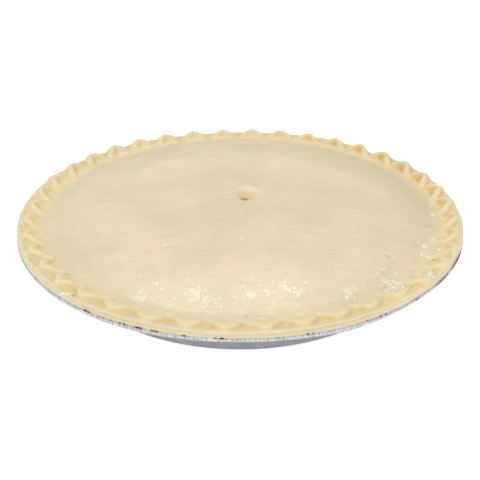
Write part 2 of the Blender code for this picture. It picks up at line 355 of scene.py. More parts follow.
# Torn flakes of dough: x, y, half length, half width, half height in millimetres, and turn in degrees. The
# thin upright ones at x -101.8 and -110.4 are pale strips on the border's folds, painted highlight.
DOUGH_FLAKES_AND_HIGHLIGHTS = (
    (-37.4, -57.2, 1.1, 0.7, 0.3, 20), (-81.4, -89.4, 3.2, 0.5, 0.4, -4),
    (-85.4, -88.6, 1.4, 0.35, 0.35, -20), (-76.4, -88.5, 2.2, 0.35, 0.4, 88),
    (-88.6, -80, 1.8, 0.4, 0.4, 84), (-101.8, -65.6, 2.6, 0.3, 0.3, 95), (-110.4, -51.1, 2.4, 0.3, 0.3, 95),
    (96.4, -53.4, 1.6, 0.8, 0.5, -40), (93.4, -50.6, 1.1, 0.7, 0.4, -20), (98.2, -54.8, 1, 0.6, 0.5, -60),
    (78.4, -85.6, 0.7, 1.9, 0.4, 8))

# Dark specks where the crust meets the rolled foil; the long ones from 52 to 69 degrees are dark strips that
# stand in for the shaded gap under the crust's edge, painted shade. Angle in degrees, half length and half
# width in millimetres, and how far inside the rim they lie.
SPECKS_AND_GAP_SHADE = (
    (-36, 1.2, 0.4, 0.3), (-34.9, 1, 0.25, 0.25), (-30.8, 0.3, 0.2, 0.3), (-28.7, 0.3, 0.2, 0.3),
    (-26.5, 0.4, 0.2, 0.3), (-25.4, 0.6, 0.35, 0.3), (-22.2, 1.5, 0.32, 0.3), (-21.4, 0.8, 0.25, 0.3),
    (-18.8, 0.9, 0.35, 0.3), (-17.8, 1.5, 0.2, 0.3), (-11.7, 0.8, 0.25, 0.3), (-5, 0.6, 0.2, 0.3),
    (-3.8, 1.1, 0.28, 0.3), (14.3, 0.6, 0.25, 0.3), (15.4, 0.4, 0.2, 0.3), (28.4, 0.5, 0.2, 0.3),
    (31.9, 0.6, 0.15, 0.3), (33.5, 0.5, 0.15, 0.3), (43.2, 0.9, 0.3, 0.2), (44, 0.6, 0.2, 0.2),
    (52, 1.4, 0.22, 0.35), (53.6, 2.4, 0.26, 0.35), (55.6, 2.2, 0.22, 0.35), (57.6, 1.2, 0.15, 0.35),
    (61, 2.2, 0.2, 0.35), (63, 3, 0.3, 0.35), (65.2, 3.2, 0.32, 0.35), (67.4, 2.6, 0.26, 0.35),
    (69.2, 1.4, 0.16, 0.35))
SPECK_HALF_HEIGHT = 0.25
FOOT_HEIGHT = 0.25 * MM
FOOT_REACH = 0.15 * MM

# Studio: each softbox's name, power, place, width and depth.
SOFTBOXES = (
    ("overhead_softbox", 8.0, (0.0, 0.62, 1.40), 1.5, 0.35),
    ("front_softbox", 22.0, (-0.3, -1.6, 1.3), 1.6, 1.2))
FLOOR_RADIUS = 5.0
FLOOR_POINTS = 64

# Camera: the photograph is 480 pixels square.
PHOTO_SIDE = 480.0
CAMERA_DISTANCE = 510.0 * MM
CAMERA_ELEVATION = math.radians(26.5)
FOCAL_PIXELS = 898.3
RIM_CENTRE_ROW = 215.65
SENSOR_WIDTH = 36.0
CLIP_START = 0.01


# -------- numbers

def mix(low, high, share):
    return low + (high - low) * share


def fade(start, end, value):
    """0 up to start, 1 from end, and smooth between."""
    share = np.clip((value - start) / (end - start), 0.0, 1.0)
    return share * share * (3.0 - 2.0 * share)


def smooth_max(first, second, blend):
    """The higher of two surfaces, with a fillet about one blend wide where they cross."""
    share = np.clip(0.5 + 0.5 * (first - second) / blend, 0.0, 1.0)
    return mix(second, first, share) + blend * share * (1.0 - share)


def hump(value, width):
    """1 at zero, and close to 0 beyond twice the width."""
    return np.exp(-(value / width) ** 2)


def lumps(seed, cell, *coordinates):
    """Smooth random field from -1 to 1 whose lumps are about one cell apart."""
    dimensions = len(coordinates)
    side = 256 if dimensions == 2 else 40
    lattice = np.random.default_rng(seed).uniform(-1.0, 1.0, (side,) * dimensions)
    scaled = np.stack(coordinates, -1) / cell
    base = np.floor(scaled).astype(int)
    share = scaled - base
    share = share * share * (3.0 - 2.0 * share)
    total = np.zeros(scaled.shape[:-1])
    for corner in np.ndindex((2,) * dimensions):
        weight = np.prod(np.where(corner, share, 1.0 - share), axis=-1)
        total += weight * lattice[tuple(np.moveaxis((base + corner) % side, -1, 0))]
    return total


def around(table, angle):
    """A value between the rows of a table that closes on itself, at an angle in radians."""
    places, values = np.array(table).T
    return np.interp(np.degrees(angle), places, values, period=360.0)


def towards(cosines, angle):
    """0 to 1 round the rim, as the cosine of the angle goes from the first value to the second."""
    return fade(*cosines, np.cos(angle))


def polar(x, y, centre_x):
    """Radius and angle about a point on the X axis."""
    return np.hypot(x - centre_x, y), np.arctan2(x - centre_x, -y)


# -------- crust surface

def unevenness(name, x, y):
    """One of the smooth random fields, in metres."""
    seed, height, size = UNEVENNESS[name]
    return height * MM * lumps(seed, size * MM, x, y)


def zigzag(angle):
    """Rounded triangle wave of the crimp: 1 at an outer tip, 0 at an inner tip."""
    turn = (angle - FIRST_OUTER_TIP - np.radians(around(CRIMP_DRIFT, angle))) * CRIMP_COUNT
    turn -= 0.5 * np.radians(around(CRIMP_LEAN, angle)) * CRIMP_COUNT * (1.0 - np.cos(turn))
    wave = np.arcsin(ZIGZAG_SHARPNESS * np.cos(turn)) / (2.0 * math.asin(ZIGZAG_SHARPNESS))
    return (0.5 + wave) ** TIP_BREADTH


def per_crimp(seed, angle):
    """Random value from -1 to 1 that changes from one crimp to the next."""
    values = np.random.default_rng(seed).uniform(-1.0, 1.0, CRIMP_COUNT)
    places = np.linspace(-math.pi, math.pi, CRIMP_COUNT, endpoint=False)
    return np.interp(angle, places, values, period=math.tau)


def crest_radius(angle, outer):
    """Radius of the zigzag's line, where outer is 1 at an outer tip and 0 at an inner tip."""
    return mix(*CREST_RADII, outer) + MM * around(CREST_SHIFT, angle)


def crest_line():
    """Points along the top of the zigzag ridge, with their height."""
    angle = np.linspace(-math.pi, math.pi, FINE_POINTS, endpoint=False)
    outer = zigzag(angle)
    radius = crest_radius(angle, outer) + CREST_WANDER * per_crimp(21, angle)
    height = mix(*CREST_HEIGHTS, fade(*CREST_RISE, outer))
    height += CREST_UNEVENNESS * per_crimp(22, angle)
    height *= 1.0 - FRONT_PRESS * towards(PRESSED_COSINES, angle)
    height += MM * around(TIP_LIFT, angle) * outer
    height -= BACK_TIP_DROP * towards(MERGED_COSINES, angle) * (1.0 - outer)
    return CRIMP_CENTRE_X + radius * np.sin(angle), -radius * np.cos(angle), height


def nearest_crest(x, y, angle):
    """Distance from each point to the zigzag crest, and the crest's height there."""
    line_x, line_y, line_height = crest_line()
    nearest = np.round((angle + math.pi) / math.tau * FINE_POINTS).astype(int)
    best = np.full(x.shape, RIM_RADIUS)
    height = np.zeros(x.shape)
    for offset in range(-SEARCH_POINTS, SEARCH_POINTS):
        start = (nearest + offset) % FINE_POINTS
        end = (start + 1) % FINE_POINTS
        step_x = line_x[end] - line_x[start]
        step_y = line_y[end] - line_y[start]
        from_x = x - line_x[start]
        from_y = y - line_y[start]
        share = np.clip((from_x * step_x + from_y * step_y) / (step_x ** 2 + step_y ** 2), 0.0, 1.0)
        distance = np.hypot(from_x - share * step_x, from_y - share * step_y)
        closer = distance < best
        best = np.where(closer, distance, best)
        height = np.where(closer, mix(line_height[start], line_height[end], share), height)
    return best, height


def lid_height(x, y):
    """The shelf and the dome, whose top lies a little to the right of the crimp's middle."""
    radius = np.hypot(x, y)
    radius, _ = polar(x, y, mix(DOME_CENTRE_X, CRIMP_CENTRE_X, np.clip(radius / LID_FOOT_RADIUS, 0.0, 1.0)))
    dome = mix(DOME_HEIGHT, SHELF_HEIGHT, (radius / LID_FOOT_RADIUS) ** DOME_POWER)
    height = smooth_max(dome, np.full(radius.shape, SHELF_HEIGHT), SHELF_BLEND)
    rolling = unevenness("broad_rolling", x, y) + unevenness("rolling", x, y)
    rolling += unevenness("streaks", x * STREAK_SQUEEZE, y)
    return height + rolling * fade(LID_FOOT_RADIUS, LID_FOOT_RADIUS - ROLLING_FADE, radius)


def oval(x, y, centre_x, centre_y, half_width, half_length):
    """Distance from a centre, where 1 is the outline of an oval."""
    return np.hypot((x - centre_x) / half_width, (y - centre_y) / half_length)


def vent_shape(x, y):
    """What the vent and its nick add to the lid, and how strong the looks of the funnel, the hole and the
    crescent behind them are: the funnel's golden tone, partly painted shade, painted shade in and above the
    hole, and a painted highlight on the crescent."""
    reach = oval(x, y, *VENT)
    forward = np.clip(0.5 + 0.5 * (VENT[1] - y) / VENT[3], 0.0, 1.0)
    lip_width = np.where(reach < LIP_REACH, *LIP_WIDTHS)
    lip = LIP_RISE * mix(1.0, LIP_FRONT_SHARE, forward) * hump(reach - LIP_REACH, lip_width)
    dimple = mix(*VENT_DEPTHS, forward) * fade(*FUNNEL_REACH, reach)
    hole = fade(*HOLE_REACH, oval(x, y, *HOLE))
    nick = hump(oval(x, y, *NICK), NICK_SOFTNESS)
    fold = hump(oval(x, y, *NICK_FOLD), NICK_FOLD_SOFTNESS)
    shape = lip - dimple - HOLE_DEPTH * hole - NICK_DEPTH * (nick - NICK_FOLD_SHARE * fold)
    funnel = np.maximum(fade(*FUNNEL_LOOK_REACH, reach), nick)
    # Painted shade in the hole and above it in the funnel.
    hole_shade = hump(oval(x, y, *HOLE_SHADE), 1.0) * fade(*HOLE_SHADE_REACH, reach)
    crescent = hump(reach - CRESCENT_REACH, CRESCENT_WIDTH) * fade(*CRESCENT_BACK, forward)
    return shape, funnel, np.maximum(hole, HOLE_SHADE_STRENGTH * hole_shade), crescent


def lid_marks(x, y):
    """Small dents and swellings on the lid, and how much browner they are, partly painted shade in the dents.
    """
    dents = np.zeros(x.shape)
    brown_and_shade = np.zeros(x.shape)
    for *place, depth, tone in LID_MARKS:
        mark = hump(oval(x, y, *mm(*place)), 1.0)
        dents -= depth * MM * mark
        brown_and_shade += tone * mark
    return dents, brown_and_shade


def crimp_shape(x, y):
    """Height of the crimped band, how golden it is, a tone that is partly painted shade, how much painted
    khaki shade it has, and how far outside the crease it lies.
    """
    radius, angle = polar(x, y, CRIMP_CENTRE_X)
    outer = zigzag(angle)
    inside = radius < crest_radius(angle, outer)
    distance, crest_height = nearest_crest(x, y, angle)
    beyond = radius - mix(*CREASE_RADII, outer)

    floor_height = mix(FILLED_HEIGHT, HOLLOW_HEIGHT, around(INNER_DEPTH, angle))
    inner_floor = mix(SHELF_HEIGHT, floor_height, fade(0.0, INNER_SLOPE, beyond))
    border = fade(BORDER_START, BORDER_RADIUS, radius)
    swell = SWELL_SHARE * fade(*SWELL_PLACES, distance)
    lift = MM * around(BORDER_LIFT, angle)
    border_height = BORDER_HEIGHT + lift + unevenness("border", x, y)
    hollow_height = HOLLOW_HEIGHT + BORDER_LIFT_SHARE * np.maximum(lift, 0.0)
    outer_floor = mix(hollow_height, border_height, np.maximum(border, swell))
    ridge = fade(*RIDGE_PLACES, distance)
    height = mix(np.where(inside, inner_floor, outer_floor), crest_height, ridge)
    height += unevenness("crimp", x, y) + unevenness("fine_crimp", x, y)

    # The hollows' golden tone, partly painted shade, and painted khaki shade in the outer hollows.
    off_ridge = fade(GOLD_NEAR, GOLD_FULL, distance)
    fading = mix(*GOLD_FAR, towards(GOLD_COSINES, angle))
    inner_gold = around(INNER_GOLD, angle) * fade(fading, GOLD_FULL, distance)
    inner_gold *= fade(0.0, 0.5 * INNER_SLOPE, beyond)
    outer_gold = around(OUTER_GOLD, angle) * fade(BORDER_RADIUS, BORDER_START - GOLD_MARGIN, radius)
    outer_gold *= mix(GOLD_REST, 1.0, fade(GOLD_FAR[0], GOLD_FULL, distance))
    gold_and_shade = off_ridge * np.where(inside, inner_gold, outer_gold)
    olive_shade = off_ridge * np.where(inside, 0.0, around(OUTER_OLIVE, angle))
    return height, gold_and_shade, olive_shade, beyond


def brown_spots(x, y):
    spots = np.zeros(x.shape)
    for degrees, radius, strength in BROWN_SPOTS:
        turn = math.radians(degrees)
        middle = (radius * MM * math.sin(turn), -radius * MM * math.cos(turn))
        spots += strength * hump(np.hypot(x - middle[0], y - middle[1]), BROWN_SPOT_RADIUS)
    return spots


def lid_surface(x, y):
    """Height of the lid above the rim, and how strong each of its looks is at each point."""
    vent, funnel, hole, crescent = vent_shape(x, y)
    dents, brown_and_shade = lid_marks(x, y)
    radius, angle = polar(x, y, CRIMP_CENTRE_X)
    # Painted shade along the back edge, a painted highlight on the front shoulder, painted light at the back,
    # and a warmer painted shade at the right-hand back.
    rim_of_lid = fade(*COOL_PLACES, radius) * fade(COOL_END, LID_FOOT_RADIUS + MM, radius)
    shoulder = fade(*SHOULDER_PLACES, -y) * (radius < LID_FOOT_RADIUS)
    warm = fade(*WARM_PLACES, WARM_DIRECTION[0] * x + WARM_DIRECTION[1] * y)
    back = fade(*BACK_PLACES, y) * fade(*BACK_FADE, radius) * (1.0 - warm)
    back *= fade(*SIDE_PLACES, np.abs(x))
    olive_shade = np.maximum(WARM_OLIVE * warm, FAR_OLIVE * fade(*FAR_PLACES, y))
    pale_and_highlight = np.maximum(SHOULDER_PALE * shoulder, CRESCENT_PALE * crescent)
    return lid_height(x, y) + vent + dents, {
        "gold_and_shade": FUNNEL_GOLD * funnel, "brown_and_shade": brown_and_shade + HOLE_BROWN * hole, "crimp": WARM_CRIMP * warm,
        "olive_shade": np.maximum(HOLE_OLIVE * hole, olive_shade),
        "cool_shade": rim_of_lid * towards(COOL_COSINES, angle) * (1.0 - WARM_UNCOOLED * warm),
        "pale_and_highlight": pale_and_highlight + BACK_PALE * back, "face": HOLE_FACE * hole * (1.0 - hole)}


def band_surface(x, y, lid, looks):
    """The same for the crimped band and the crust's edge, laid over the lid's height and looks there."""
    crimp, gold_and_shade, olive_shade, beyond = crimp_shape(x, y)
    angle = np.arctan2(x, -y)
    inside = fade(*CREASE_BLEND, beyond)
    groove = MM * around(CREASE_DEPTH, angle) * hump(beyond, CREASE_HALF_WIDTH)
    crust = mix(lid, crimp, inside) - groove
    edge_reach = np.hypot(x - EDGE_CENTRE_X, y) - MM * around(EDGE_SPREAD, angle)
    rounding = np.clip((CRUST_RADIUS - edge_reach) / EDGE_ROUND, 0.0, 1.0)
    fold_line = BORDER_RADIUS + unevenness("fold_line", x, y)
    crust += FOLD_HEIGHT * hump(edge_reach - fold_line + FOLD_INSET, FOLD_HALF_WIDTH)
    height = mix(EDGE_HEIGHT, crust, np.sqrt(1.0 - (1.0 - rounding) ** 2))

    # Painted shade on the edge's upright face.
    face = fade(*FACE_PLACES, edge_reach + unevenness("face_line", x, y))
    border = fade(BORDER_START - MM, BORDER_START + MM, edge_reach) * inside
    # A painted highlight along the fold line at the front.
    fold = FOLD_PALE * towards(FOLD_COSINES, angle) * hump(edge_reach - fold_line, FOLD_HALF_WIDTH)
    # Painted khaki and bluish-grey shade where the inner tips merge into the lid at the back.
    merged = towards(MERGED_COSINES, angle) * fade(*MERGED_SHARE, zigzag(angle))
    merged *= fade(*MERGED_REACH, beyond) * (1.0 - gold_and_shade)
    crimp_look = mix(1.0, BACK_CRIMP, towards(CRIMP_COSINES, angle)) * mix(1.0, MERGED_CRIMP, merged)
    brown_and_shade = looks["brown_and_shade"] + mix(*SPOT_STRENGTHS, towards(SPOT_COSINES, angle)) * brown_spots(x, y)
    return height, {
        "gold_and_shade": inside * gold_and_shade, "face": face * around(FACE_LOOK, angle),
        "pale_and_highlight": np.maximum(fold, around(BORDER_PALE, angle) * border),
        "olive_shade": mix(looks["olive_shade"], np.maximum(olive_shade, MERGED_OLIVE * merged), inside),
        "cool_shade": np.maximum(looks["cool_shade"], inside * merged),
        "crimp": mix(looks["crimp"], crimp_look * mix(1.0, BORDER_CRIMP, border), inside),
        "brown_and_shade": brown_and_shade + around(BROWNING, angle) * inside * gold_and_shade}


def crust_surface(x, y):
    """Height of the pie's top above the rim, and how strong each of its looks is at each point."""
    height, looks = lid_surface(x, y)
    band = np.hypot(x, y) > CREASE_RADII[0] - BAND_MARGIN
    lid_looks = {name: values[band] for name, values in looks.items()}
    height[band], band_looks = band_surface(x[band], y[band], height[band], lid_looks)
    for name, values in band_looks.items():
        looks[name][band] = values
    return height, looks


def crust_top(x, y):
    return RIM_HEIGHT + crust_surface(x, y)[0]


# -------- mesh helpers

def ring_faces(first, first_count, second, second_count):
    """Faces between two rings of vertices, where one ring may have twice as many as the other."""
    if second_count > first_count:
        return ring_faces(second, second_count, first, first_count)
    step = np.arange(second_count)
    after = (step + 1) % second_count
    if first_count == second_count:
        return np.stack([first + step, first + after, second + after, second + step], 1).tolist()
    near = first + 2 * step
    far = first + (2 * step + 2) % first_count
    corners = ((near, near + 1, second + step), (near + 1, second + after, second + step),
               (near + 1, far, second + after))
    return np.concatenate([np.stack(corner, 1) for corner in corners]).tolist()


def mesh_from_rings(name, rings):
    """One closed mesh from rings of points, joined in order, with a fan over the first and the last."""
    starts = np.cumsum([0] + [len(ring) for ring in rings])
    faces = []
    for index in range(len(rings) - 1):
        faces += ring_faces(starts[index], len(rings[index]), starts[index + 1], len(rings[index + 1]))
    middles = np.array([rings[0].mean(0), rings[-1].mean(0)])
    for middle, index in ((starts[-1], 0), (starts[-1] + 1, len(rings) - 1)):
        step = np.arange(len(rings[index]))
        following = (step + 1) % len(step)
        fan = [starts[index] + step, starts[index] + following, np.full(len(step), middle)]
        faces += np.stack(fan, 1).tolist()
    return add_piece(name, np.concatenate([*rings, middles]), faces)


def add_piece(name, points, faces):
    """A smooth-shaded object with its faces turned outwards."""
    mesh = bpy.data.meshes.new(name)
    mesh.from_pydata(points.tolist(), [], faces)
    work = bmesh.new()
    work.from_mesh(mesh)
    bmesh.ops.recalc_face_normals(work, faces=work.faces)
    work.to_mesh(mesh)
    work.free()
    mesh.shade_smooth()
    piece = bpy.data.objects.new(name, mesh)
    bpy.context.scene.collection.objects.link(piece)
    return piece


def store(piece, name, values):
    """Keeps one number per vertex for the piece's material."""
    attribute = piece.data.attributes.new(name, "FLOAT", "POINT")
    attribute.data.foreach_set("value", values.astype(np.float32))


def ring(radius, height, count, centre_x=0.0):
    """A ring of points. The radius and the height may be one number or one for each point."""
    angle = math.tau * np.arange(count) / count
    flat = np.zeros(count)
    return np.stack([centre_x + radius * np.sin(angle), -radius * np.cos(angle), height + flat], 1)


def wall_radius(height, inset):
    """Radius of the sloping wall at a height, on a line that lies inset inside the tin's outer face."""
    start_radius = BASE_RADIUS + (CORNER_RADIUS - inset) * math.sin(WALL_SLOPE)
    start_height = CORNER_RADIUS - (CORNER_RADIUS - inset) * math.cos(WALL_SLOPE)
    return start_radius + (height - start_height) / math.tan(WALL_SLOPE)


def bowl_profile(inset, top_height, corner_steps=6, wall_steps=8):
    """Radius and height along the bowl, from the flat base up to the rim, inset from its outer face."""
    reach = CORNER_RADIUS - inset
    points = [(share * BASE_RADIUS, inset) for share in (0.3, 0.7, 0.9)]
    for turn in np.linspace(0.0, WALL_SLOPE, corner_steps):
        points.append((BASE_RADIUS + reach * math.sin(turn), CORNER_RADIUS - reach * math.cos(turn)))
    first_height = points[-1][1]
    for height in np.linspace(first_height, top_height, wall_steps)[1:]:
        points.append((wall_radius(height, inset), height))
    return points


# -------- pie

def ring_radii():
    """Radii of the rings on the crust's top, and how many points each has, from the edge inwards."""
    rings = []
    for turn in np.linspace(0.0, math.pi / 2.0, EDGE_STEPS)[:-1]:
        rings.append((CRUST_RADIUS - EDGE_ROUND * (1.0 - math.cos(turn)), FINE_POINTS))
    ends = [first * MM for first, _, _ in RING_STEPS[1:]] + [INNERMOST_RADIUS]
    for (first, count, spacing), end in zip(RING_STEPS, ends):
        steps = round((first * MM - end) / (spacing * MM))
        for radius in np.linspace(first * MM, end, steps, endpoint=False):
            rings.append((radius, count))
    return rings


def underside_rings():
    """The pie's hidden side: the bowl in the tin, and the crust's underside out to the foot of its edge."""
    under = RIM_HEIGHT + CRUST_UNDERSIDE
    bowl = bowl_profile(FOIL_THICKNESS + FOIL_GAP, under)
    fine_angle = math.tau * np.arange(FINE_POINTS) / FINE_POINTS
    edge_radius = CRUST_RADIUS + MM * around(EDGE_SPREAD, fine_angle)
    rings = [ring(radius, height, FINE_POINTS // 4) for radius, height in bowl]
    rings.append(ring(bowl[-1][0] + UNDER_RING_STEP, under, FINE_POINTS // 2))
    rings.append(ring(edge_radius - UNDER_INSET, under, FINE_POINTS, EDGE_CENTRE_X))
    rings.append(ring(edge_radius - FOOT_INSET, under - EDGE_DROP, FINE_POINTS, EDGE_CENTRE_X))
    return rings


def build_pie():
    rings = underside_rings()
    hidden = sum(len(row) for row in rings)
    looks = {name: [np.zeros(hidden)] for name in LOOKS}
    # Painted light on the foot of the crust's edge, which lifts the shade where the crust meets the foil.
    looks["pale_and_highlight"][0][-FINE_POINTS:] = 1.0
    for radius, count in ring_radii():
        centre_x = mix(VENT[0], EDGE_CENTRE_X, fade(*CENTRED_PLACES, radius))
        spread = MM * around(EDGE_SPREAD, math.tau * np.arange(count) / count)
        spread *= fade(*SPREAD_PLACES, radius)
        row = ring(radius + spread, 0.0, count, centre_x)
        height, row_looks = crust_surface(row[:, 0], row[:, 1])
        row[:, 2] = RIM_HEIGHT + height
        rings.append(row)
        for name, values in row_looks.items():
            looks[name].append(values)
    piece = mesh_from_rings("pie_crust", rings)
    for name, values in looks.items():
        store(piece, name, np.concatenate([*values, np.zeros(2)]))
    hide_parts("lemon_pie")
    finish_piece(piece, dough_material())


# -------- small pieces

def build_film():
    """Wet patches: a thin glossy film with fine lumps, whose edges dip under the crust."""
    steps = round(RIM_RADIUS * math.radians(FILM_ANGLES[1] - FILM_ANGLES[0]) / FILM_SPACING)
    angle = np.radians(np.linspace(*FILM_ANGLES, steps))
    radius = np.arange(*FILM_RADII, FILM_SPACING)
    x = np.outer(radius, np.sin(angle)).ravel()
    y = -np.outer(radius, np.cos(angle)).ravel()
    cover = np.zeros(x.shape)
    for patch in WET_PATCHES:
        cover = np.maximum(cover, fade(*PATCH_REACH, oval(x, y, *mm(*patch))))
    cover += sum(strength * lumps(seed, size * MM, x, y) for seed, size, strength in FILM_GAPS) - FILM_LOSS
    fine = sum(lumps(seed, size * MM, x, y) for seed, size in FILM_LUMPS)
    fine = FILM_LUMP_HEIGHT * fine * fade(0.0, FILM_LUMP_COVER, cover)
    height = crust_top(x, y) + FILM_THICKNESS * np.clip(cover, -FILM_COVER, FILM_COVER) + fine
    index = np.arange(x.size).reshape(radius.size, angle.size)
    cells = np.stack([index[:-1, :-1], index[:-1, 1:], index[1:, 1:], index[1:, :-1]], -1).reshape(-1, 4)
    kept = cells[cover[cells].max(1) > 0.0]
    used, faces = np.unique(kept, return_inverse=True)
    points = np.stack([x, y, height], -1)[used]
    piece = add_piece("wet_film", points, faces.reshape(-1, 4).tolist())
    finish_piece(piece, wet_material())


def unit_ball():
    """Points and faces of a ball of radius 1."""
    work = bmesh.new()
    bmesh.ops.create_icosphere(work, subdivisions=2, radius=1.0)
    points = np.array([vertex.co[:] for vertex in work.verts])
    faces = np.array([[corner.index for corner in face.verts] for face in work.faces])
    work.free()
    return points, faces


def lay_lumps(name, seed, rows, surface, material):
    """One piece of small uneven lumps that follow the surface under them. Each row is x, y, half length,
    half width and half height, in millimetres, and a turn in degrees."""
    ball, ball_faces = unit_ball()
    points = []
    faces = []
    for index, (x, y, length, width, height, degrees) in enumerate(rows):
        swelling = 1.0 + LUMP_UNEVENNESS * lumps(seed, LUMP_CELL, *(ball + LUMP_STEP * index).T)
        along = ball[:, 0] * length * swelling
        across = ball[:, 1] * width * swelling
        turn = math.radians(degrees)
        place_x = MM * (x + along * math.cos(turn) - across * math.sin(turn))
        place_y = MM * (y + along * math.sin(turn) + across * math.cos(turn))
        points.append(np.stack([place_x, place_y, MM * height * (ball[:, 2] * swelling + LUMP_RAISE)], -1))
        faces.append(ball_faces + index * len(ball))
    points = np.concatenate(points)
    points[:, 2] += surface(points[:, 0], points[:, 1])
    finish_piece(add_piece(name, points, np.concatenate(faces).tolist()), material)


def build_flour():
    rows = []
    for place, (x, y, spread, count) in enumerate(FLOUR_PLACES):
        draws = np.random.default_rng(FLOUR_SEED + place)
        for _ in range(count):
            offset = draws.normal(0.0, spread, 2)
            half_length = draws.uniform(*FLECK_HALF_LENGTHS)
            half_width = FLECK_HALF_HEIGHT + FLECK_BROADENING * half_length * draws.random()
            rows.append((x + offset[0], y + offset[1], half_length, half_width, FLECK_HALF_HEIGHT,
                         draws.uniform(0.0, 180.0)))
    lay_lumps("flour_and_glint_flecks", 52, rows, crust_top, flour_material())


def build_flakes():
    lay_lumps("dough_flakes_and_highlights", 53, DOUGH_FLAKES_AND_HIGHLIGHTS, crust_top, flake_material())


def bead_top(x, y):
    """Height of the tin's rolled bead."""
    reach = np.hypot(x, y) - (RIM_RADIUS - BEAD_RADIUS)
    return RIM_HEIGHT + BEAD_RISE - BEAD_RADIUS + np.sqrt(np.clip(BEAD_RADIUS ** 2 - reach ** 2, 0.0, None))


def edge_foot(x, y):
    """Height of the foot of the crust's edge, and of the tin's rolled bead outside it."""
    radius, angle = polar(x, y, EDGE_CENTRE_X)
    edge = CRUST_RADIUS + MM * around(EDGE_SPREAD, angle)
    return np.maximum(bead_top(x, y), RIM_HEIGHT + FOOT_HEIGHT * fade(FOOT_REACH, 0.0, radius - edge))


def build_specks():
    rows = []
    for degrees, half_length, half_width, inwards in SPECKS_AND_GAP_SHADE:
        turn = math.radians(degrees)
        radius = RIM_RADIUS / MM - inwards
        place = (radius * math.sin(turn), -radius * math.cos(turn))
        rows.append((*place, half_length, half_width, SPECK_HALF_HEIGHT, degrees))
    lay_lumps("specks_and_gap_shade", 54, rows, edge_foot, speck_material())


def finish_piece(piece, material):
    piece.data.materials.append(material)
    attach(piece, "root")


# -------- foil tin

def build_tin():
    rim_underside = RIM_HEIGHT - FOIL_THICKNESS
    flat_end = RIM_RADIUS - 2.0 * BEAD_RADIUS
    bead_points = 4 * TIN_POINTS
    outer = bowl_profile(0.0, rim_underside)
    inner = bowl_profile(FOIL_THICKNESS, RIM_HEIGHT)
    rings = [ring(radius, height, TIN_POINTS) for radius, height in outer]
    rings.append(ring(flat_end - RIM_RING_STEP, rim_underside, 2 * TIN_POINTS))
    rings.append(ring(flat_end, rim_underside, bead_points))
    rings += bead_rings(math.tau * np.arange(bead_points) / bead_points)
    rings.append(ring(flat_end, RIM_HEIGHT, bead_points))
    rings.append(ring(flat_end - RIM_RING_STEP, RIM_HEIGHT, 2 * TIN_POINTS))
    rings += [ring(radius, height, TIN_POINTS) for radius, height in reversed(inner)]
    piece = mesh_from_rings("foil_pan", rings)
    points = np.array([vertex.co[:] for vertex in piece.data.vertices])
    store(piece, "painted_shine", around(FOIL_SHINE, np.arctan2(points[:, 0], -points[:, 1])))
    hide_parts("foil_tin")
    finish_piece(piece, foil_material())


def bead_rings(angle):
    """The rolled bead, crinkled, and sagging along its underside."""
    rings = []
    for turn in np.linspace(*BEAD_TURNS, BEAD_STEPS):
        crinkle = CRINKLE * bead_crinkle(angle, turn)
        radius = RIM_RADIUS - BEAD_RADIUS + (BEAD_RADIUS - crinkle) * math.cos(turn)
        height = RIM_HEIGHT + BEAD_RISE - BEAD_RADIUS + (BEAD_RADIUS - crinkle) * math.sin(turn)
        height -= MM * around(BEAD_SAG, angle) * 0.5 * (1.0 - math.sin(turn))
        rings.append(ring(radius, height, len(angle)))
    return rings


def bead_crinkle(angle, turn):
    """Creases across the rolled bead, from 0 to 1."""
    along = RIM_RADIUS * angle
    across = np.full(angle.shape, BEAD_RADIUS * turn)
    creases = 1.0 - np.abs(lumps(31, BEAD_CREASE_SIZE, along, across)) ** 0.6
    dents = 0.5 + 0.5 * lumps(32, BEAD_DENT_SIZE, along, across)
    return 0.6 * creases + 0.4 * dents


# -------- materials

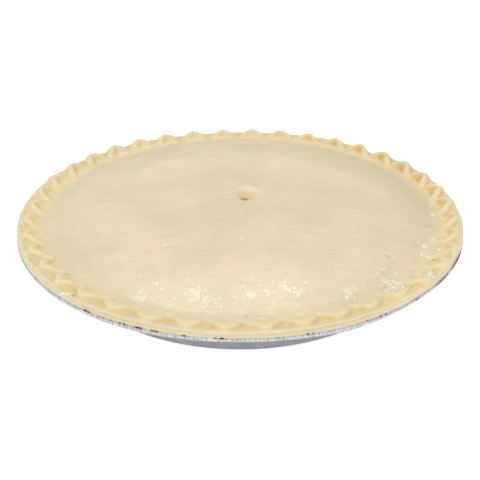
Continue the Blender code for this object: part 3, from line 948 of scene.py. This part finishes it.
class Shading:
    """Short forms for building one material's nodes, with lengths in metres."""

    def __init__(self, name, roughness, metallic=0.0):
        self.material = bpy.data.materials.new(name)
        self.material.use_nodes = True
        self.tree = self.material.node_tree
        self.shader = self.tree.nodes["Principled BSDF"]
        self.set("Roughness", roughness)
        self.set("Metallic", metallic)
        self.place = self.add("ShaderNodeTexCoord").outputs["Object"]

    def add(self, kind, inputs=None, **settings):
        """A node with its settings, and with its inputs set or linked by name."""
        node = self.tree.nodes.new(kind)
        for name, value in settings.items():
            setattr(node, name, value)
        for name, value in (inputs or {}).items():
            self.feed(node.inputs[name], value)
        return node

    def feed(self, socket, value):
        """Sets an input to a number or colour, or links it to another node's output."""
        if isinstance(value, bpy.types.NodeSocket):
            self.tree.links.new(value, socket)
        else:
            socket.default_value = value

    def set(self, name, value):
        self.feed(self.shader.inputs[name], value)

    def noise(self, size, detail=2.0, stretch=(1.0, 1.0, 1.0)):
        """Noise from 0 to 1 with lumps of a real size, drawn out along an axis where stretch is over 1."""
        scale = [1.0 / (size * part) for part in stretch]
        place = self.add("ShaderNodeMapping", {"Vector": self.place, "Scale": scale}).outputs["Vector"]
        inputs = {"Vector": place, "Scale": 1.0, "Detail": detail}
        return self.add("ShaderNodeTexNoise", inputs).outputs["Fac"]

    def ramp(self, value, start, end):
        """0 up to start, 1 from end, and smooth between."""
        inputs = {"Value": value, "From Min": start, "From Max": end}
        return self.add("ShaderNodeMapRange", inputs, interpolation_type="SMOOTHSTEP").outputs["Result"]

    def maths(self, operation, first, second):
        return self.add("ShaderNodeMath", {0: first, 1: second}, operation=operation).outputs["Value"]

    def blend(self, share, first, second):
        """One colour over another by a share."""
        inputs = {"Factor": share, "A": first, "B": second}
        return self.add("ShaderNodeMix", inputs, data_type="RGBA").outputs["Result"]

    def tint(self, base, tones):
        """One tone after another over a colour, each by a mask and a strength."""
        for mask, strength, tone in tones:
            base = self.blend(self.maths("MULTIPLY", mask, strength), base, tone)
        return base

    def height(self):
        """Height above the table."""
        return self.add("ShaderNodeSeparateXYZ", {"Vector": self.place}).outputs["Z"]

    def stored(self, name):
        return self.add("ShaderNodeAttribute", attribute_name=name).outputs["Fac"]

    def bump(self, height, distance, below=None):
        """Tilts the surface as a height field of that real depth would, over an earlier bump."""
        node = self.add("ShaderNodeBump", {"Height": height, "Distance": distance})
        if below is not None:
            self.feed(node.inputs["Normal"], below)
        return node.outputs["Normal"]


def colour(red, green, blue):
    """A linear colour from the values that a picture shows, from 0 to 255."""
    parts = [part / 255.0 for part in (red, green, blue)]
    return (*[part / 12.92 if part <= 0.04045 else ((part + 0.055) / 1.055) ** 2.4 for part in parts], 1.0)


def dough_colours(dough):
    """Pale dough: a little uneven in colour, with rolling marks and grey blotches across it."""
    broad = dough.ramp(dough.noise(34.0 * MM), 0.35, 0.65)
    streaks = dough.noise(1.5 * MM, 3.0, (9.0, 1.0, 1.0))
    marks = dough.ramp(streaks, 0.45, 0.65)
    grey = dough.ramp(dough.noise(17.0 * MM, 3.0, (1.8, 1.0, 1.0)), 0.52, 0.70)
    fine = dough.ramp(dough.noise(1.6 * MM, 3.0, (1.6, 1.0, 1.0)), 0.35, 0.65)
    base = dough.blend(broad, colour(204, 189, 155), colour(213, 197, 163))
    base = dough.tint(base, ((marks, 0.5, colour(197, 183, 149)), (grey, 0.5, colour(196, 184, 156)),
                             (fine, 0.25, colour(214, 201, 172))))
    return base, streaks


def dough_material():
    """The crust: dough tinted by the looks stored on its mesh, one over the other, most of them painted shade
    and highlight, some only in part.
    """
    dough = Shading("dough", 0.5)
    base, streaks = dough_colours(dough)
    # Tones: the paler one is painted highlight and light, and a paler border; the bluish-grey, khaki and face
    # ones are painted shade; the golden and browner ones are the hollows' colour, partly painted shade.
    tones = (
        ("pale_and_highlight", 0.7, colour(228, 217, 192)), ("cool_shade", 0.5, colour(198, 190, 174)),
        ("crimp", 0.8, colour(215, 198, 156)), ("gold_and_shade", 0.95, colour(217, 192, 128)),
        ("olive_shade", 0.8, colour(188, 174, 138)), ("face", 0.9, colour(187, 174, 145)),
        ("brown_and_shade", 1.0, colour(196, 152, 82)))
    dough.set("Base Color", dough.tint(base, [(dough.stored(name), *tone) for name, *tone in tones]))
    dough.set("Subsurface Weight", 0.3)
    dough.set("Subsurface Scale", 2.0 * MM)
    dough.set("Subsurface Radius", (1.0, 0.6, 0.3))
    dough.set("Sheen Weight", 0.05)
    dough.set("Sheen Roughness", 0.3)
    dough.set("Sheen Tint", (0.80, 0.90, 1.0, 1.0))
    dough.set("Roughness", dough.ramp(dough.noise(9.0 * MM), -0.6, 1.4))
    fine = dough.bump(dough.noise(0.8 * MM, 2.0), 0.05 * MM)
    dough.set("Normal", dough.bump(streaks, 0.10 * MM, fine))
    return dough.material


def wet_material():
    wet = Shading("wet_dough", 0.28)
    wet.set("Specular IOR Level", 0.8)
    # A paler tone over the dough's colour: painted highlight on the wet patches, beside the coat's real
    # gloss.
    wet.set("Base Color", wet.blend(0.3, dough_colours(wet)[0], colour(232, 222, 198)))
    wet.set("Coat Weight", 0.5)
    wet.set("Coat Roughness", 0.18)
    wet.set("Normal", wet.bump(wet.noise(0.7 * MM, 2.0), 0.26 * MM))
    return wet.material


def speckled(name, roughness, size, first, second):
    """Nodes of a plain material, from one colour to another by noise of a size."""
    plain = Shading(name, roughness)
    plain.set("Base Color", plain.blend(plain.noise(size), first, second))
    return plain


def flour_material():
    return speckled("flour_and_glint", 0.9, 1.0 * MM, colour(222, 213, 194), colour(236, 231, 219)).material


def flake_material():
    return speckled("dough_flake_and_highlight", 0.55, 1.4 * MM, colour(222, 205, 168), colour(236, 226, 202)).material


def speck_material():
    speck = Shading("speck_and_gap_shade", 0.5)
    # Dark brown tones for the specks, and for the strips of painted shade along the gap at the right.
    speck_tone = speck.ramp(speck.noise(2.6 * MM), 0.40, 0.60)
    speck.set("Base Color", speck.blend(speck_tone, colour(46, 38, 28), colour(104, 86, 56)))
    return speck.material


def foil_material():
    """Thin foil: its wall darker, partly painted shade, and its rolled rim brighter and finely creased, with
    painted glints and dark reflections along the creases.
    """
    foil = Shading("foil", 0.4, 1.0)
    creases = foil.noise(1.0 * MM, 3.0, (1.0, 1.0, 7.0))
    # The wall's darker colour is partly painted shade, and the rim's lighter and darker streaks along its
    # creases are painted glints and dark reflections.
    wall = foil.blend(foil.noise(14.0 * MM), colour(137, 138, 142), colour(151, 152, 156))
    rim = foil.blend(foil.ramp(creases, 0.35, 0.65), colour(162, 162, 160), colour(203, 203, 201))
    share = foil.ramp(foil.height(), RIM_HEIGHT - RIM_LOOK[0], RIM_HEIGHT - RIM_LOOK[1])
    # Painted light from the table round the tin: its wall and rim brighter, and its rim less metallic.
    painted_shine = foil.stored("painted_shine")
    wall = foil.blend(painted_shine, wall, colour(158, 160, 165))
    rim = foil.blend(painted_shine, rim, foil.blend(creases, colour(182, 184, 190), colour(208, 210, 216)))
    foil.set("Base Color", foil.blend(share, wall, rim))
    satin = foil.maths("MULTIPLY", foil.maths("MULTIPLY", painted_shine, share), 0.55)
    foil.set("Metallic", foil.maths("SUBTRACT", 1.0, satin))
    foil.set("Roughness", foil.ramp(foil.noise(6.0 * MM, 3.0), -1.2, 1.6))
    dents = foil.bump(foil.noise(3.0 * MM, 4.0), 0.05 * MM)
    foil.set("Normal", foil.bump(creases, 0.05 * MM, dents))
    return foil.material


def floor_material():
    floor = speckled("floor", 0.9, 0.4, (0.90, 0.90, 0.90, 1.0), (0.92, 0.92, 0.92, 1.0))
    floor.set("Emission Color", (1.0, 1.0, 1.0, 1.0))
    floor.set("Emission Strength", 0.6)
    return floor.material


# -------- studio

def build_floor():
    floor = add_piece("floor", ring(FLOOR_RADIUS, 0.0, FLOOR_POINTS), [list(range(FLOOR_POINTS))])
    floor.data.materials.append(floor_material())


def add_softbox(name, power, place, target, width, depth):
    """A rectangular light that faces the target."""
    light = bpy.data.lights.new(name, "AREA")
    light.shape = "RECTANGLE"
    light.size = width
    light.size_y = depth
    light.energy = power
    lamp = bpy.data.objects.new(name, light)
    lamp.location = place
    lamp.rotation_euler = (target - lamp.location).to_track_quat("-Z", "Y").to_euler()
    bpy.context.scene.collection.objects.link(lamp)


def build_studio():
    middle = PIE_LOW.lerp(PIE_HIGH, 0.5)
    for name, power, place, width, depth in SOFTBOXES:
        add_softbox(name, power, place, middle, width, depth)
    world = bpy.data.worlds.new("studio")
    world.use_nodes = True
    background = world.node_tree.nodes["Background"]
    background.inputs["Color"].default_value = (0.96, 0.98, 1.0, 1.0)
    background.inputs["Strength"].default_value = 0.68
    bpy.context.scene.world = world
    bpy.context.scene.view_settings.view_transform = "Standard"


def build_camera():
    camera = bpy.data.cameras.new("camera")
    camera.sensor_width = SENSOR_WIDTH
    camera.lens = FOCAL_PIXELS / PHOTO_SIDE * SENSOR_WIDTH
    camera.clip_start = CLIP_START
    holder = bpy.data.objects.new("camera", camera)
    holder.location = (0.0, -CAMERA_DISTANCE * math.cos(CAMERA_ELEVATION),
                       RIM_HEIGHT + CAMERA_DISTANCE * math.sin(CAMERA_ELEVATION))
    rows_below = PHOTO_SIDE / 2.0 - RIM_CENTRE_ROW
    pitch = CAMERA_ELEVATION + math.atan(rows_below / FOCAL_PIXELS)
    holder.rotation_euler = (math.pi / 2.0 - pitch, 0.0, 0.0)
    bpy.context.scene.collection.objects.link(holder)
    bpy.context.scene.camera = holder


def main():
    build_pie()
    build_tin()
    build_film()
    build_flour()
    build_flakes()
    build_specks()
    build_floor()
    build_studio()
    build_camera()


main()
